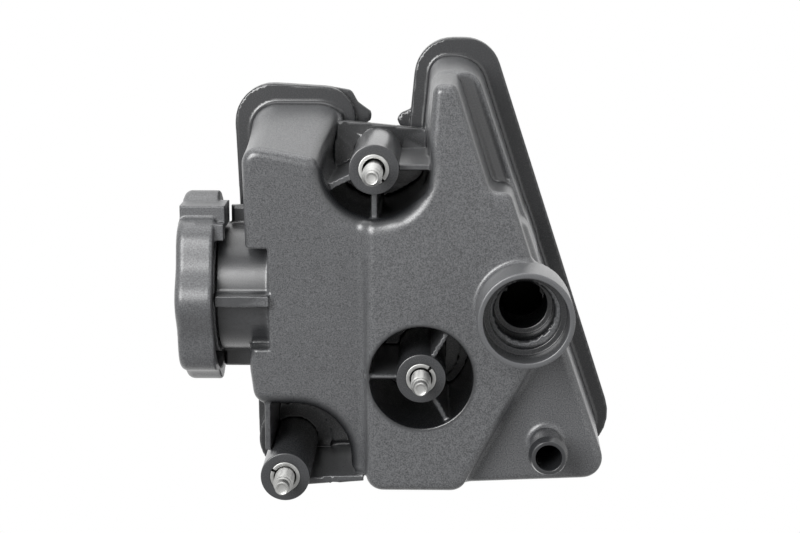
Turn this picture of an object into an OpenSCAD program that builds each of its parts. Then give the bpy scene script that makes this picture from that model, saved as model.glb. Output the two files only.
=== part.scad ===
/* [Tank shells] */
// Wall thickness of both moulded shells
wall = 2.5; // [2.2:0.1:2.8]
// Depth of the weld flange's front face behind the mounting plane
flange_front = 48; // [46:0.5:50]
// Thickness of each shell's flange
flange_t = 2.5; // [2:0.1:3]
// Depth of the rear shell behind the weld plane
rear_depth = 21.5; // [19:0.5:25]
// Height of the tank's side under the return spigot, seen from the centre bolt
foot = 34.3; // [33.5:0.1:35]
// Reach of the short lobe beside the filler neck
short_lobe = 76.3; // [75.5:0.1:78]
// Reach of the long lobe
long_lobe = 90.9; // [89:0.1:93]
// Slant of the tank's floor
floor_angle = 18; // [17:0.1:19]
// Height of the floor under the centre bolt
floor_drop = 46.5; // [46:0.1:48]

/* [Front faces] */
// Depth of the raised centre block
block_y = 0.5; // [0.3:0.1:1]
// Depth of the panel beside the filler neck at the centre bolt
panel_y = 6.4; // [6:0.1:7]
// Rise of that panel towards the short lobe, in millimetres per millimetre
panel_tilt = 0.09; // [0.07:0.01:0.1]
// Depth of the lower panel that carries the spigot
spigot_panel_y = 9; // [8:0.1:10]
// Depth of the ribbed terrace on the long lobe
terrace_y = 22; // [20:0.5:24]
// Rounding of the front edges
edge_r = 2.5; // [1.5:0.1:3]
// Rounding of the rear shell's edge
rear_edge_r = 3.2; // [2:0.1:3.4]

/* [Bolt bosses] */
// Outer diameter of a boss
boss_d = 14.6; // [14:0.1:15.2]
// Depth at which the bolt heads seat
seat_y = 44; // [43:0.1:44.5]
// Thickness of the floor under a boss
seat_t = 3; // [2.5:0.1:3]
// Outer diameter of a split sleeve
sleeve_d = 9; // [8.8:0.1:9.2]
// Bore of a split sleeve
sleeve_bore = 6.6; // [6.4:0.1:6.8]
// Front radius of the centre well
well_r = 16; // [15.5:0.1:16]
// Front radius of the pocket round the upper boss
upper_pocket_r = 17; // [16.5:0.1:17.2]
// Front radius of the pocket round the lower boss
lower_pocket_r = 24; // [23.5:0.1:24.5]

/* [Bolts] */
// Thread diameter
bolt_d = 5.9; // [5.8:0.1:6]
// Length under the head
bolt_len = 62; // [60:0.5:64]
// Distance that the centre bolt is pushed back from its seat
centre_back = 5.2; // [4:0.1:5.5]
// Distance that the lower bolt is pushed back from its seat
lower_back = 6.4; // [5:0.1:6.6]

/* [Suction port] */
// Outer diameter
port_d = 28; // [27:0.1:28.5]
// Diameter of the mouth
port_mouth_d = 23.8; // [23:0.1:24.4]
// Diameter of the inner step
port_step_d = 20.6; // [20:0.1:21]
// Diameter of the hole into the tank
port_hole_d = 17.8; // [17:0.1:18.4]
// Reach of the port in front of the mounting plane
port_reach = 16; // [14:0.5:18]

/* [Return spigot] */
// Diameter of the tube
spigot_d = 9; // [8.8:0.1:9.4]
// Diameter of the bead at its end
spigot_bead_d = 11.3; // [11:0.1:11.6]
// Bore
spigot_bore = 7; // [6.6:0.1:7.2]
// Reach in front of the mounting plane
spigot_reach = 8; // [7:0.5:9]

/* [Filler neck and cap] */
// Outer diameter of the neck
neck_d = 39.2; // [38.6:0.1:39.6]
// Bore of the neck
neck_bore = 31.8; // [31.6:0.1:32]
// Height of the neck's mouth above the centre bolt
neck_top = 71; // [70.5:0.1:71.4]
// Largest diameter of the cap's grip
cap_d = 58.6; // [57:0.1:60]
// Height of the cap's outer face above the centre bolt
cap_top = 76.6; // [76.4:0.1:78]
// Number of grip lobes
cap_lobes = 8; // [6:1:10]
// Length of the dipstick's blade
dipstick_len = 84; // [70:1:86]

/* [Hidden] */
$fn = 48;

// The front view is drawn as x along the mounting face and z up; y is depth, away from the viewer
weld_y = flange_front + flange_t;
back_y = weld_y + rear_depth;
upper_boss = [62.1, 13.8];
centre_boss = [0, 0];
lower_boss = [-30.4, 40.5];
port_at = [21, -30.1];
spigot_at = [-21.7, -37.5];
neck_at = [22.5, 27];
floor_y = seat_y - seat_t;
head_hole_r = 8.5;
head_wall_r = 11.5;
lower_pocket_at = [-30.4, 43.5];
neck_root = 45.3;
neck_shoulder = 61;
neck_rib_r = 25;
thread_d = neck_d - 3.4;
grip_foot = 61.4;
strainer_x = 1;
strainer_y = 14;
strainer_z = -40.5;
strainer_t = 2;
strainer_h = 20;
thread_len = 8.8;
plastic = "#2b2c2e";
zinc = "#b9bcbd";

// Height of the slanted floor at a place along the mounting face
function floor_z(x) = -floor_drop + x*tan(floor_angle);

// Corners are [x, z, radius], anticlockwise
flange_corners = [
    [-foot - 1.7, floor_z(-foot - 1.7) - 6.1, 14], [long_lobe + 5.8, floor_z(long_lobe + 5.8) - 6.1, 10],
    [long_lobe + 5.8, 1.7, 9], [53, 6, 3], [53, 20.8, 3], [short_lobe + 4.6, 21.2, 6.5],
    [short_lobe + 6.9, 59.4, 10], [40, 57.6, 20], [0, 53, 20], [-foot - 8.1, 52.6, 12]];
rear_long = [
    [-foot, floor_z(-foot), 8], [long_lobe, floor_z(long_lobe), 9], [long_lobe, -2.7, 6], [-foot, 9, 1]];
rear_short = [
    [-foot + 1, -12, 1], [44, -6, 1], [short_lobe, 25, 5], [short_lobe, 53.8, 8], [42, 52.6, 10],
    [0, 48.4, 10], [-foot - 0.6, 46, 7]];
lobe_root = [
    [34, floor_z(34), 1], [long_lobe, floor_z(long_lobe), 9], [long_lobe, -2.7, 6], [34, 2.8, 1]];
lobe_front = [
    [34, floor_z(34) + 1.6, 1], [long_lobe - 1.6, floor_z(long_lobe) + 1.6, 7], [long_lobe - 1.6, -3.7, 5],
    [34, 2, 1]];
ridge_root = [
    [42, -27, 1], [long_lobe - 0.8, -12, 3], [long_lobe - 0.8, -3.2, 4], [42, 1.2, 1]];
ridge_front = [
    [42, -24, 1], [long_lobe - 4.4, -9.8, 2.5], [long_lobe - 4.4, -3.4, 2.5], [42, 0, 1]];
block_root = [
    [-foot, -14, 5], [12, floor_z(12) + 1, 1], [55, floor_z(55) + 1, 3], [57, -8, 2], [52, 17.6, 1],
    [-foot, 17.6, 6]];
block_front = [
    [-foot + 0.3, -11.8, 5], [15, floor_z(15) + 2.8, 3], [55.2, floor_z(55.2) + 2.8, 3], [56.6, -8, 2],
    [52, 16.4, 1], [-foot + 0.3, 16.4, 5]];
panel_root = [
    [-foot + 2, 4, 1], [46, 4, 1], [short_lobe, 26, 5], [short_lobe, 53.8, 8], [42, 52.6, 10], [0, 49, 10],
    [-foot - 0.6, 47, 6]];
panel_front = [
    [-foot + 3, 4, 1], [46, 4, 1], [64.8, 30.3, 3], [68.9, 51.8, 4.5], [42, 51.5, 6], [0, 49.4, 8],
    [-foot, 44.5, 4]];
spigot_root = [
    [-foot + 0.6, floor_z(-foot) - 0.4, 8], [44, floor_z(44) + 0.6, 1], [44, -10, 1], [-foot + 2, -6, 1]];
spigot_front = [
    [-foot + 1.3, floor_z(-foot) + 1, 6], [44, floor_z(44) + 1.4, 1], [44, -10, 1], [-foot + 3, -6, 1]];

// The hollow behind each face. The narrow ridge on the long lobe is solid, so its hollow ends lower.
block_hollow = [
    [-foot + 3, -9.8, 3], [17, floor_z(17) + 6.2, 2], [53, floor_z(53) + 6, 2], [54, -17.4, 2], [74, -11, 2],
    [74, -5.8, 2], [49, -4.8, 2], [49, 13.6, 2], [-foot + 3, 13.6, 3]];
panel_hollow = [
    [-foot + 5, 8, 2], [46, 8, 2], [62.2, 33.2, 2], [66, 48.9, 3], [42, 48.8, 4], [0, 46.2, 4],
    [-foot + 3.4, 42.2, 3]];
spigot_hollow = [
    [-foot + 4, floor_z(-foot) + 3.8, 4], [40, floor_z(40) + 4.2, 2], [40, -14, 2], [-foot + 4, -9, 2]];
lobe_hollow = [
    [36, floor_z(36) + 4.6, 2], [long_lobe - 4.4, floor_z(long_lobe) + 4, 5], [long_lobe - 4.4, -6.4, 3],
    [36, -2.4, 2]];

function unit(v) = v/norm(v);
function left_of(v) = [-v[1], v[0]];
function cross2(a, b) = a[0]*b[1] - a[1]*b[0];
function xz(c) = [c[0], c[1]];

// Corner i moved inwards by d, with its radius kept concentric
function moved_corner(c, i, d) =
    let(n = len(c), before = unit(xz(c[i]) - xz(c[(i + n - 1)%n])), after = unit(xz(c[(i + 1)%n]) - xz(c[i])),
        a = left_of(before), b = left_of(after), p = xz(c[i]) + d*(a + b)/(1 + a*b),
        r = c[i][2] - d*sign(cross2(before, after)))
    [p[0], p[1], max(r, 0.4)];

// Points of the arc that rounds corner i
function corner_arc(c, i, steps) =
    let(n = len(c), before = unit(xz(c[i]) - xz(c[(i + n - 1)%n])), after = unit(xz(c[(i + 1)%n]) - xz(c[i])),
        turn = atan2(cross2(before, after), before*after), r = c[i][2], side = sign(turn),
        start = xz(c[i]) - before*r*tan(abs(turn)/2), centre = start + left_of(before)*r*side)
    [for (k = [0:steps]) let(a = turn*k/steps, v = start - centre)
        centre + [v[0]*cos(a) - v[1]*sin(a), v[0]*sin(a) + v[1]*cos(a)]];

// Rounded outline, moved inwards by d
function outline(corners, d = 0, steps = 2) =
    let(moved = [for (i = [0:len(corners) - 1]) moved_corner(corners, i, d)])
    [for (i = [0:len(corners) - 1]) each corner_arc(moved, i, steps)];

// Straight plate between two depths, from a front view
module plate(front, back) {
    rotate([90, 0, 0]) translate([0, 0, -back]) linear_extrude(back - front) children();
}

// Round bar along the depth, from one radius at the front to another at the back
module bar(at, front, back, r_front, r_back) {
    translate([at[0], back, at[1]]) rotate([90, 0, 0]) cylinder(h = back - front, r1 = r_back, r2 = r_front);
}

// Closed skin over rings that have equally many points
module skin(rings) {
    n = len(rings[0]);
    top = len(rings) - 1;
    polyhedron(
        points = [for (ring = rings) each ring],
        faces = [
            [for (i = [0:n - 1]) i],
            for (k = [0:top - 1]) for (i = [0:n - 1]) each [
                [k*n + i, (k + 1)*n + i, k*n + (i + 1)%n],
                [k*n + (i + 1)%n, (k + 1)*n + i, (k + 1)*n + (i + 1)%n]],
            [for (i = [n - 1:-1:0]) top*n + i]]);
}

// Drafted form to a front face at y0 - tilt*x, with a rounded front edge. It starts inside the flange,
// sunk by its own amount so that no two forms share a plane.
module drafted_form(root, front, y0, sunk, tilt = 0) {
    rounding = [for (a = [0, 45, 90]) [edge_r*(1 - cos(a)), edge_r*(1 - sin(a))]];
    skin(concat(
        [[for (p = outline(root)) [p[0], flange_front + sunk, p[1]]]],
        [for (s = rounding) [for (p = outline(front, s[0])) [p[0], y0 - tilt*p[0] + s[1], p[1]]]]));
}

// The forms that make up the front of the tank
module tank_forms() {
    drafted_form(lobe_root, lobe_front, terrace_y, 0.6);
    drafted_form(block_root, block_front, block_y, 0.9);
    drafted_form(ridge_root, ridge_front, block_y + 0.25, 1.8);
    drafted_form(panel_root, panel_front, panel_y, 1.2, panel_tilt);
    drafted_form(spigot_root, spigot_front, spigot_panel_y, 1.5);
}

// Straight hollow behind one face, open at the weld plane
module hollow(corners, front) {
    plate(front + wall, weld_y + 1) polygon(outline(corners));
}

module tank_hollow() {
    hollow(lobe_hollow, terrace_y);
    hollow(block_hollow, block_y);
    hollow(panel_hollow, panel_y + 3);
    hollow(spigot_hollow, spigot_panel_y);
}

// Pockets round the bosses, grown by a wall to keep the tank closed round them
module boss_pockets(grow) {
    bar(upper_boss, -20, floor_y + grow, upper_pocket_r + 1.4 + grow, upper_pocket_r - 3 + grow);
    bar(centre_boss, -20, floor_y + grow, well_r + 0.7 + grow, well_r - 1.5 + grow);
    bar(lower_pocket_at, -20, floor_y + grow, lower_pocket_r + 1 + grow, lower_pocket_r - 2 + grow);
}

// Step in the tank's side in front of the filler neck
module neck_step(grow) {
    translate([7.2 - grow, -20, neck_root - grow]) cube([30.8 + 2*grow, 36 + grow, 40]);
}

// Room between the lobes for the upper bolt's head and its wrench
module head_room(grow) {
    translate([50.5 - grow, seat_y - grow - 0.1, 2 - grow]) cube([60, 60, 23 + 2*grow]);
}

module boss_columns() {
    for (at = [upper_boss, centre_boss, lower_boss]) bar(at, 0, seat_y, boss_d/2, boss_d/2);
    for (at = [centre_boss, lower_boss]) bar(at, floor_y, weld_y, head_wall_r, head_wall_r);
}

// Thin rib from a boss outwards: direction in degrees from x, reach from the axis, depths
module rib(at, direction, reach, front, back, thick = 2) {
    translate([at[0], back, at[1]]) rotate([90, 0, 0]) rotate(direction)
        translate([5.5, -thick/2, 0]) cube([reach - 5.5, thick, back - front]);
}

module boss_ribs() {
    for (turn = [90, -30, -150]) {
        rib(centre_boss, turn, 11, 6, floor_y + 1);
        rib(centre_boss, turn, well_r + 1, 2.2, floor_y + 1);
    }
    rib(upper_boss, -90, upper_pocket_r + 1, 5, floor_y + 1);
    rib(upper_boss, 180, upper_pocket_r + 0.5, 4, floor_y + 1);
    rib(upper_boss, 115, upper_pocket_r + 0.5, 8, floor_y + 1);
    rib(lower_boss, -95, 21.5, 9, floor_y + 1);
    rib(lower_boss + [0, 5], 0, lower_pocket_r, 9.5, floor_y + 1);
}

// Plate behind the upper boss that ties the two lobes together
module tie_plate() {
    corners = [[44, -3, 1], [69, -2.4, 1], [71.6, 29, 6], [64, 32, 2], [44, 32, 1]];
    plate(floor_y, seat_y) polygon(outline(corners));
}

module flange_ring(front) {
    plate(front, front + flange_t) polygon(outline(flange_corners, steps = 5));
}

module neck_body() {
    translate([neck_at[0], neck_at[1], 0]) {
        translate([0, 0, neck_root - wall]) cylinder(h = neck_shoulder - neck_root + wall, d = neck_d);
        translate([0, 0, neck_root]) cylinder(h = neck_top - neck_root, d = thread_d);
        for (turn = [0:90:270]) rotate(turn) translate([neck_d/2 - 1, -1.7, 48])
            cube([(turn == 90 ? weld_y - neck_at[1] : neck_rib_r) - neck_d/2 + 1, 3.4, turn == 0 ? 10 : 13]);
    }
}

module port_body() {
    bar(port_at, -port_reach, block_y + wall + 2, port_d/2, port_d/2);
    bar(port_at, block_y - 2.2, block_y + 2, port_d/2, port_d/2 + 1.6);
}

module spigot_body() {
    bar(spigot_at, -spigot_reach, spigot_panel_y + 1, spigot_d/2, spigot_d/2);
    bar(spigot_at, -spigot_reach, 4 - spigot_reach, spigot_d/2 + 0.3, spigot_bead_d/2);
    bar(spigot_at, spigot_panel_y - 2.5, spigot_panel_y + 1, spigot_d/2, spigot_d/2 + 2.4);
}

// Three raised lines on the terrace of the long lobe
module terrace_ridges() {
    for (i = [0:2]) translate([86 - 3*i, 0, -14.6 + 2.6*i]) rotate([0, 180 - floor_angle, 0])
        translate([0, terrace_y - 1.2, -0.6]) cube([26 - 3*i, 2.2, 1.2]);
}

module front_bores() {
    for (at = [upper_boss, centre_boss, lower_boss]) bar(at, -1, seat_y + 1, sleeve_d/2, sleeve_d/2);
    for (at = [centre_boss, lower_boss]) bar(at, seat_y, weld_y + 1, head_hole_r, head_hole_r);
    translate([neck_at[0], neck_at[1], neck_root - 6]) cylinder(h = 40, d = neck_bore);
    bar(port_at, -port_reach - 1, 9 - port_reach, port_mouth_d/2, port_mouth_d/2);
    bar(port_at, -port_reach - 1, 14 - port_reach, port_step_d/2, port_step_d/2);
    bar(port_at, -port_reach - 1, 8, port_hole_d/2, port_hole_d/2);
    bar(spigot_at, -spigot_reach - 1, 14, spigot_bore/2, spigot_bore/2);
}

module front_shell() color(plastic) difference() {
    union() {
        difference() {
            union() {
                tank_forms();
                flange_ring(flange_front);
                terrace_ridges();
            }
            difference() {
                tank_hollow();
                boss_pockets(wall);
                neck_step(wall);
                head_room(wall);
            }
            boss_pockets(0);
            neck_step(0);
            head_room(0);
        }
        tie_plate();
        boss_columns();
        boss_ribs();
        neck_body();
        port_body();
        spigot_body();
    }
    front_bores();
}

// Drafted box of the rear shell with a rounded edge, or the hollow inside it
module rear_form(corners, depth, sunk, inset = 0) {
    r = max(rear_edge_r - inset, 0.7);
    base = inset > 0 ? weld_y - 1 : weld_y + sunk;
    skin(concat(
        [for (a = [90, 60, 30, 0]) [for (p = outline(corners, inset + 1 + r*(1 - cos(a))))
            [p[0], weld_y + depth - inset - r*(1 - sin(a)), p[1]]]],
        [[for (p = outline(corners, inset)) [p[0], base, p[1]]]]));
}

module rear_forms(inset = 0) {
    rear_form(rear_long, rear_depth, 0.8, inset);
    rear_form(rear_short, rear_depth - 0.6, 1.4, inset);
}

// Ears of the rear flange beside the upper bolt
module rear_ears() {
    plate(weld_y + 0.2, weld_y + flange_t - 0.2) {
        polygon([[67, 29], [67, 23], [70, 17.5], [71.6, 16.5], [72.9, 17.2], [74.8, 20], [78.6, 22.2],
                 [80.1, 23.8], [80.4, 29]]);
        polygon([[65, -1], [78, -1], [74.2, 4.2], [73.1, 6.8], [71.9, 7.9], [70.7, 8.2], [69.1, 7.4], [65, 3.4]]);
    }
}

// Pair of ribs on the rear wall that hold the strainer upright
module strainer_guides() {
    for (x = [strainer_x - 2, strainer_x + strainer_t])
        translate([x, back_y - 12, strainer_z + 5]) cube([2, 10.5, strainer_h - 10]);
}

module rear_shell() color(plastic) difference() {
    union() {
        difference() {
            union() {
                rear_forms();
                flange_ring(weld_y);
                rear_ears();
            }
            difference() {
                rear_forms(wall);
                head_room(wall);
            }
            head_room(0);
        }
        for (at = [centre_boss, lower_boss]) bar(at, weld_y, back_y - 0.4, head_wall_r, head_wall_r);
        strainer_guides();
    }
    for (at = [centre_boss, lower_boss]) bar(at, weld_y - 1, back_y + 1, head_hole_r, head_hole_r);
}

// Lobed outline of the grip at an inset from its widest form
function grip_ring(z, inset) =
    [for (i = [0:95]) let(a = 360*i/96, r = cap_d/2 - 1.3 - inset + 1.3*cos(cap_lobes*a))
        [neck_at[0] + r*cos(a), neck_at[1] + r*sin(a), z]];

module cap_knob() color(plastic) difference() {
    skin([grip_ring(grip_foot, 0.8), grip_ring(grip_foot + 0.8, 0), grip_ring(cap_top - 2.4, 0.5),
          grip_ring(cap_top - 0.7, 1.2), grip_ring(cap_top, 2.9)]);
    translate([neck_at[0], neck_at[1], 0]) {
        translate([0, 0, grip_foot - 1]) cylinder(h = 74.2 - grip_foot, d = thread_d + 0.6);
        translate([0, 0, grip_foot - 1]) difference() {
            cylinder(h = 12, d = cap_d - 8);
            translate([0, 0, -1]) cylinder(h = 14, d = thread_d + 4.6);
        }
        translate([0, 0, 73]) cylinder(h = 2, d = 12.1);
    }
}

module cap_core() color(plastic) translate([neck_at[0], neck_at[1], 0]) difference() {
    union() {
        translate([0, 0, neck_top + 1.2]) cylinder(h = 0.9, d = thread_d - 0.4);
        translate([0, 0, neck_top - 9]) cylinder(h = 11, d = neck_bore - 0.6);
        translate([0, 0, neck_top + 2]) cylinder(h = 1.9, d = 12);
    }
    translate([0, 0, neck_top - 10]) difference() {
        cylinder(h = 9.5, d = neck_bore - 5);
        translate([0, 0, -1]) cylinder(h = 12, d = 9);
    }
    translate([0, 0, neck_top - 10]) cylinder(h = 7, d = 5);
}

module cap_seal() color("#141414") translate([neck_at[0], neck_at[1], neck_top]) difference() {
    cylinder(h = 1.2, d = thread_d - 0.4);
    translate([0, 0, -1]) cylinder(h = 4, d = neck_bore - 0.6);
}

module dipstick() color(plastic) translate([neck_at[0], neck_at[1], neck_top - 9]) {
    translate([0, 0, -2]) cylinder(h = 8, d = 5);
    difference() {
        translate([-1, -3.5, -dipstick_len]) cube([2, 7, dipstick_len - 1.5]);
        for (z = [dipstick_len - 6, dipstick_len - 26]) translate([-2, 0, -z]) rotate([0, 90, 0])
            cylinder(h = 4, d = 3);
    }
}

// Frame of the strainer between the return spigot's end of the tank and the suction port
module strainer_frame() color("#3a3b3d") translate([strainer_x, strainer_y, strainer_z]) difference() {
    depth = back_y - wall - strainer_y;
    opening = (depth - 9)/2;
    cube([strainer_t, depth, strainer_h]);
    for (y = [3, opening + 6]) translate([-1, y, 3]) cube([strainer_t + 2, opening, strainer_h - 6]);
    screen_sheet();
}

module screen_sheet() translate([0.8, 3, 3]) cube([0.4, back_y - wall - strainer_y - 6, strainer_h - 6]);

module strainer_screen() color("#8d8f90") translate([strainer_x, strainer_y, strainer_z]) screen_sheet();

// Rolled sleeve with an open seam
module split_sleeve(at, seam) color(zinc) difference() {
    bar(at, 0, seat_y, sleeve_d/2, sleeve_d/2);
    bar(at, -1.4, seat_y + 1, sleeve_bore/2, sleeve_bore/2);
    translate([at[0], seat_y + 1, at[1]]) rotate([90, 0, 0]) rotate(seam)
        translate([0, -0.4, 0]) cube([sleeve_d, 0.8, seat_y + 3]);
}

module upper_sleeve() split_sleeve(upper_boss, -140);
module centre_sleeve() split_sleeve(centre_boss, -40);
module lower_sleeve() split_sleeve(lower_boss, 60);

// Flanged hexagon bolt with a pilot end
module bolt(at, back) color(zinc) {
    head_y = seat_y + back;
    tip_y = head_y - bolt_len;
    bar(at, tip_y + 4, tip_y + 4 + thread_len, bolt_d/2, bolt_d/2);
    bar(at, tip_y + 4 + thread_len, head_y + 1, bolt_d/2 - 0.4, bolt_d/2 - 0.4);
    bar(at, tip_y + 3, tip_y + 4, bolt_d/2 - 0.8, bolt_d/2);
    bar(at, tip_y + 0.5, tip_y + 3.5, bolt_d/2 - 0.8, bolt_d/2 - 0.8);
    bar(at, tip_y, tip_y + 0.5, bolt_d/2 - 1.2, bolt_d/2 - 0.8);
    bar(at, head_y, head_y + 1.4, 6.5, 6.2);
    translate([at[0], head_y + 6, at[1]]) rotate([90, 0, 0]) cylinder(h = 5.5, d = 10/cos(30), $fn = 6);
}

module upper_bolt() bolt(upper_boss, 0);
module centre_bolt() bolt(centre_boss, centre_back);
module lower_bolt() bolt(lower_boss, lower_back);

front_shell();
rear_shell();
cap_knob();
cap_core();
cap_seal();
dipstick();
strainer_frame();
strainer_screen();
upper_sleeve();
centre_sleeve();
lower_sleeve();
upper_bolt();
centre_bolt();
lower_bolt();
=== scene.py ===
"""Power steering reservoir: two welded shells, a screw cap, a suction port, a return spigot and three bolts.

Sizes are millimetres in the part's own frame: X along the mounting face, Y away from the viewer, Z up.
The photograph looks along +Y with +X upwards. Meshes go into Blender in metres.
"""
from __future__ import annotations

import logging
import math
from dataclasses import dataclass, field
from enum import Enum

import bpy
import numpy as np
from mathutils import Matrix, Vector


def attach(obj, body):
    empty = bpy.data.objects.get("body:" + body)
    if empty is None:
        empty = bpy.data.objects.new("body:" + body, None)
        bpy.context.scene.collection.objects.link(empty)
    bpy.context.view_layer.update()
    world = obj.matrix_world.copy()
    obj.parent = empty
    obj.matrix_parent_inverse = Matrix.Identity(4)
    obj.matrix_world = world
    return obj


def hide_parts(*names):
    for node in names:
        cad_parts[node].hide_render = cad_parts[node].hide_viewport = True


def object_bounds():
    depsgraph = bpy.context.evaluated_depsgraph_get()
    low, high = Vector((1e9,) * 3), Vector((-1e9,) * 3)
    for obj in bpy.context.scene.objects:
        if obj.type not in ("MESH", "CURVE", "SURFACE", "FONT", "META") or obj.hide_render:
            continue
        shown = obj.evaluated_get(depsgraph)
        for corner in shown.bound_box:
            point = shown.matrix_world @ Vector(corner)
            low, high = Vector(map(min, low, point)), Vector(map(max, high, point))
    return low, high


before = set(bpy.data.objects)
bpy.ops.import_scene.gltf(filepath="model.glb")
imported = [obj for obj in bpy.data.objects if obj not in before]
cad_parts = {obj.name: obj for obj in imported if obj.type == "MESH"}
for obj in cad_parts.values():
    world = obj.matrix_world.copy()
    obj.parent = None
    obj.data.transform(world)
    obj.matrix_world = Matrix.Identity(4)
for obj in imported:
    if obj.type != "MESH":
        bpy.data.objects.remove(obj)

LOG = logging.getLogger("reservoir")
CAD_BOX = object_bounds()
MM = 0.001
WELD_Y = 50.5
BACK_Y = 72.0
FLOOR_Y = 41.0
SEAT_Y = 44.0
UPPER_BOSS = (62.1, 13.8)
CENTRE_BOSS = (0.0, 0.0)
LOWER_BOSS = (-30.4, 40.5)
LOWER_POCKET = (-30.4, 43.5)
PORT_AT = (21.0, -30.1)
SPIGOT_AT = (-21.7, -37.5)
NECK_AT = (22.5, 27.0)
SLANT = math.radians(18.0)
FOOT = 35.3
SHORT_TOP = 76.3
LONG_TOP = 90.9
NECK_TOP = 66.9
# Point attribute for the dark ungrained colour: the real ungrained finish of the flanges, and painted shade in the
# pockets, the port's mouth and the shells' insides.
SMOOTH = "smooth_finish"


class Axis(Enum):
    """Which way a turned piece points."""

    DEPTH = "depth"
    UP = "up"


def floor_z(x: float) -> float:
    """Height of the tank's slanted floor at a place along the mounting face."""
    return -46.5 + x * math.tan(SLANT)


FLANGE = [(-FOOT - 0.7, floor_z(-FOOT - 0.7) - 6.1, 14), (LONG_TOP + 5.8, floor_z(LONG_TOP + 5.8) - 6.1, 11.5),
          (LONG_TOP + 5.8, 1.7, 12), (53, 6, 3), (53, 20.8, 3), (SHORT_TOP + 4.6, 21.2, 10),
          (SHORT_TOP + 6.9, 59.4, 12), (40, 57.6, 20), (0, 53, 20), (-FOOT - 7.1, 52.6, 12)]


# Materials


def srgb(code: str) -> tuple[float, float, float, float]:
    """Linear colour of an sRGB hex value.

    Args:
        code: Six hex digits after a hash sign.

    Returns:
        Linear red, green, blue and an alpha of 1.
    """
    parts = [int(code[i:i + 2], 16) / 255 for i in (1, 3, 5)]
    red, green, blue = [c / 12.92 if c <= 0.04045 else ((c + 0.055) / 1.055) ** 2.4 for c in parts]
    return red, green, blue, 1.0


def add(tree: bpy.types.NodeTree, kind: str, links: dict[str, object] | None = None,
        **settings: object) -> bpy.types.Node:
    """Adds a node, sets its properties and fills its sockets.

    Args:
        tree: Node tree that gets the node.
        kind: Blender's name of the node type.
        links: Socket name or number against an output socket or a plain value.
        settings: Properties of the node itself.

    Returns:
        The new node.
    """
    node = tree.nodes.new(kind)
    for name, value in settings.items():
        setattr(node, name, value)
    for name, value in (links or {}).items():
        socket = node.inputs[name]
        if isinstance(value, bpy.types.NodeSocket):
            tree.links.new(value, socket)
        else:
            socket.default_value = value
    return node


def new_material(name: str) -> tuple[bpy.types.Material, bpy.types.NodeTree, bpy.types.NodeSocket]:
    """Empty node material with its tree and the object coordinates that its patterns read."""
    material = bpy.data.materials.new(name)
    material.use_nodes = True
    tree = material.node_tree
    tree.nodes.clear()
    return material, tree, add(tree, "ShaderNodeTexCoord").outputs["Object"]


def finish_material(tree: bpy.types.NodeTree, shader: bpy.types.Node) -> None:
    """Joins a shader to the material's output."""
    add(tree, "ShaderNodeOutputMaterial", {"Surface": shader.outputs[0]})


@dataclass(frozen=True)
class MouldedPlastic:
    """Glass-filled nylon, injection moulded in a spark-eroded mould.

    The eye sees a dark grey with a fine even grain that sparkles, and a broad sheen at grazing angles.
    """

    name: str
    colour: str = "#6f7072"
    dark: str = "#303133"
    roughness: float = 0.3
    grain_mm: float = 0.36
    grain_depth_mm: float = 0.05
    grain_strength: float = 0.5
    # Dark ungrained colour: the flanges' real finish, and painted shade in recesses.
    smooth_colour: str = "#1c1d1f"
    sheen_coat: float = 0.7

    def make(self) -> bpy.types.Material:
        """Builds the material: grain in height, roughness and shade, and slow flow marks."""
        material, tree, place = new_material(self.name)
        grain = add(tree, "ShaderNodeTexNoise", {"Vector": place, "Scale": 1 / (self.grain_mm * MM),
                                                 "Detail": 2.0, "Roughness": 0.6})
        flow = add(tree, "ShaderNodeTexNoise", {"Vector": place, "Scale": 1 / (26 * MM), "Detail": 3.0})
        spread = add(tree, "ShaderNodeMapRange", {"Value": grain.outputs["Fac"], "From Min": 0.32,
                                                  "From Max": 0.68, "To Min": 0.0, "To Max": 1.0})
        shade = add(tree, "ShaderNodeMix", {"Factor": spread.outputs["Result"], "A": srgb(self.dark),
                                            "B": srgb(self.colour)}, data_type="RGBA")
        rough = add(tree, "ShaderNodeMapRange", {"Value": spread.outputs["Result"],
                                                 "To Min": self.roughness + 0.08,
                                                 "To Max": self.roughness - 0.08})
        rough_flow = add(tree, "ShaderNodeMath", {0: flow.outputs["Fac"], 1: 0.12, 2: rough.outputs["Result"]},
                         operation="MULTIPLY_ADD")
        # The point attribute mixes in the dark ungrained colour with less grain: real on the flanges, painted shade in
        # pockets and insides.
        polished = add(tree, "ShaderNodeAttribute", attribute_name=SMOOTH).outputs["Fac"]
        shade = add(tree, "ShaderNodeMix", {"Factor": polished, "A": shade.outputs["Result"],
                                            "B": srgb(self.smooth_colour)}, data_type="RGBA")
        rough_out = add(tree, "ShaderNodeMath", {0: polished, 1: -0.12, 2: rough_flow.outputs[0]},
                        operation="MULTIPLY_ADD")
        strength = add(tree, "ShaderNodeMapRange", {"Value": polished, "To Min": self.grain_strength,
                                                    "To Max": 0.2 * self.grain_strength})
        bump = add(tree, "ShaderNodeBump", {"Height": grain.outputs["Fac"], "Strength": strength.outputs["Result"],
                                            "Distance": self.grain_depth_mm * MM})
        shader = add(tree, "ShaderNodeBsdfPrincipled", {
            "Base Color": shade.outputs["Result"], "Roughness": rough_out.outputs[0],
            "Normal": bump.outputs["Normal"], "IOR": 1.53, "Coat Weight": self.sheen_coat,
            "Coat Roughness": 0.3, "Coat IOR": 1.6})
        finish_material(tree, shader)
        return material


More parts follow.
